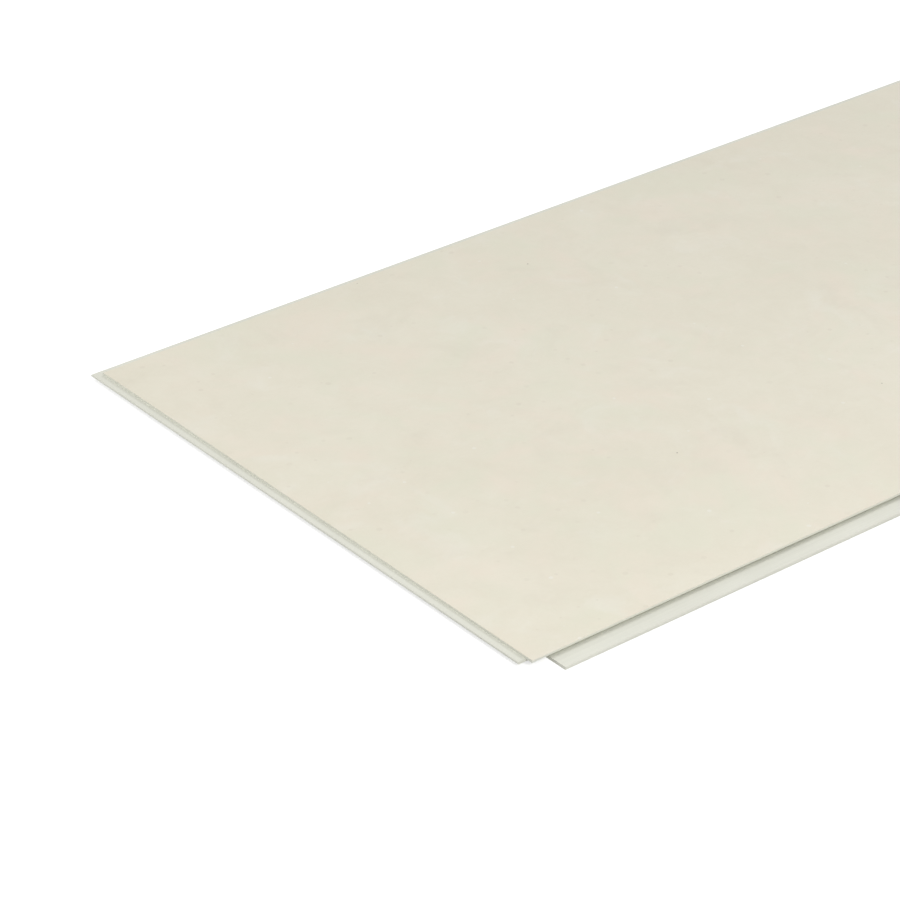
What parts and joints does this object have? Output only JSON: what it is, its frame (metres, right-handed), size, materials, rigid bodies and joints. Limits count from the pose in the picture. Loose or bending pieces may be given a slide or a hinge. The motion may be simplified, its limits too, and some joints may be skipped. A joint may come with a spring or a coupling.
{
  "type": "pvc wall tile",
  "caption": "Flat rigid PVC wall tile with a pale stone print, tongues on two neighbouring edges, and grooves with a long back flange on the edges opposite them.",
  "frame": {"origin": "centre of the printed face's outline, on the back plane", "axes": "+X along the face's long side, +Y across it, +Z out of the printed face; the tongues are at -X and +Y, the grooves with their flanges at +X and -Y"},
  "size_m": [0.6659, 0.3909, 0.005],
  "materials": {
    "printed_pvc": "satin-matte rigid PVC with a pale limestone print on the face"
  },
  "bodies": {
    "root": {"wall_tile": "printed_pvc"}
  },
  "joints": []
}
